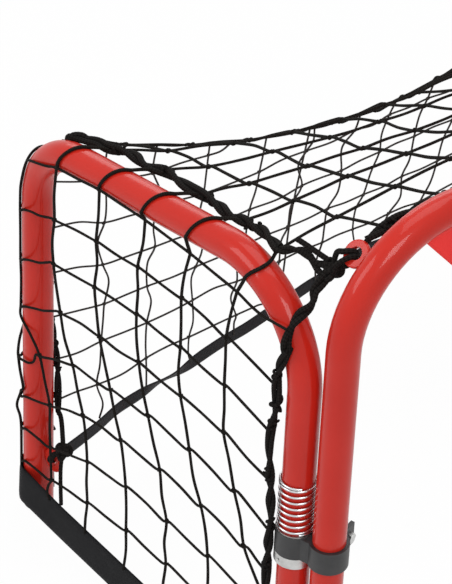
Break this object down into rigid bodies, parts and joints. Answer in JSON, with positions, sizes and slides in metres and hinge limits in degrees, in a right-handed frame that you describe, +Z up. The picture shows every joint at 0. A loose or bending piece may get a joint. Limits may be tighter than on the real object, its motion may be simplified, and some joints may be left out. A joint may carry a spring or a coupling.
{
  "type": "hockey goal net",
  "caption": "Small folding street hockey goal: bent steel tube frame, two hinged side wings, laced nets, rope borders, a bottom strap and a cloth target under the crossbar.",
  "frame": {"origin": "middle of the footprint, on the floor", "axes": "+X to the right seen from in front of the mouth, +Y from the mouth to the back, +Z up"},
  "size_m": [0.9408, 0.4942, 0.6318],
  "materials": {
    "red_paint": "gloss powder coat",
    "zinc_steel": "satin",
    "bright_steel": "bright",
    "black_plastic": "satin",
    "black_rubber": "matte",
    "black_rope": "woven",
    "black_net": "woven",
    "black_webbing": "woven",
    "black_fabric": "woven",
    "red_cloth": "woven"
  },
  "bodies": {
    "front": {"front_frame": "red_paint", "clamp_bolts": "zinc_steel", "clamp_nuts": "zinc_steel", "crossbar_rope": "black_rope", "top_net": "black_net", "back_net": "black_net", "back_strap": "black_webbing", "target_cloth": "red_cloth", "cloth_loops": "black_webbing", "post_cap_left": "black_rubber", "corner_eye_left": "red_paint", "lower_clamp_left": "black_plastic", "upper_clamp_left": "black_plastic", "spring_washer_left": "zinc_steel", "corner_knot_left": "black_rope", "corner_lashing_left": "black_rope", "post_cap_right": "black_rubber", "corner_eye_right": "red_paint", "lower_clamp_right": "black_plastic", "upper_clamp_right": "black_plastic", "spring_washer_right": "zinc_steel", "corner_knot_right": "black_rope", "corner_lashing_right": "black_rope"},
    "wing_left": {"wing_tube_left": "red_paint", "front_leg_cap_left": "black_rubber", "rear_leg_cap_left": "black_rubber", "leg_spring_left": "bright_steel", "leg_collar_left": "zinc_steel", "collar_screw_left": "zinc_steel", "lower_eye_left": "red_paint", "lower_knot_left": "black_rope", "side_net_left": "black_net", "hem_band_left": "black_fabric", "top_rope_left": "black_rope", "front_rope_left": "black_rope", "rear_rope_left": "black_rope", "rear_knot_left": "black_rope", "net_lacing_left": "black_net"},
    "wing_right": {"wing_tube_right": "red_paint", "front_leg_cap_right": "black_rubber", "rear_leg_cap_right": "black_rubber", "leg_spring_right": "bright_steel", "leg_collar_right": "zinc_steel", "collar_screw_right": "zinc_steel", "lower_eye_right": "red_paint", "lower_knot_right": "black_rope", "side_net_right": "black_net", "hem_band_right": "black_fabric", "top_rope_right": "black_rope", "front_rope_right": "black_rope", "rear_rope_right": "black_rope", "rear_knot_right": "black_rope", "net_lacing_right": "black_net"}
  },
  "joints": [
    {"name": "wing_left_fold", "type": "hinge", "parent": "front", "child": "wing_left", "pos_m": [-0.446, -0.19256, 0], "axis": [0, 0, -1], "range_deg": [0, 90], "deforming": ["top_net", "back_net", "back_strap", "corner_lashing_left"]},
    {"name": "wing_right_fold", "type": "hinge", "parent": "front", "child": "wing_right", "pos_m": [0.446, -0.19256, 0], "axis": [0, 0, 1], "range_deg": [0, 90], "deforming": ["corner_lashing_right"]}
  ],
  "couplings": [
    {"joint": "wing_right_fold", "follows": "wing_left_fold", "ratio": 1}
  ]
}
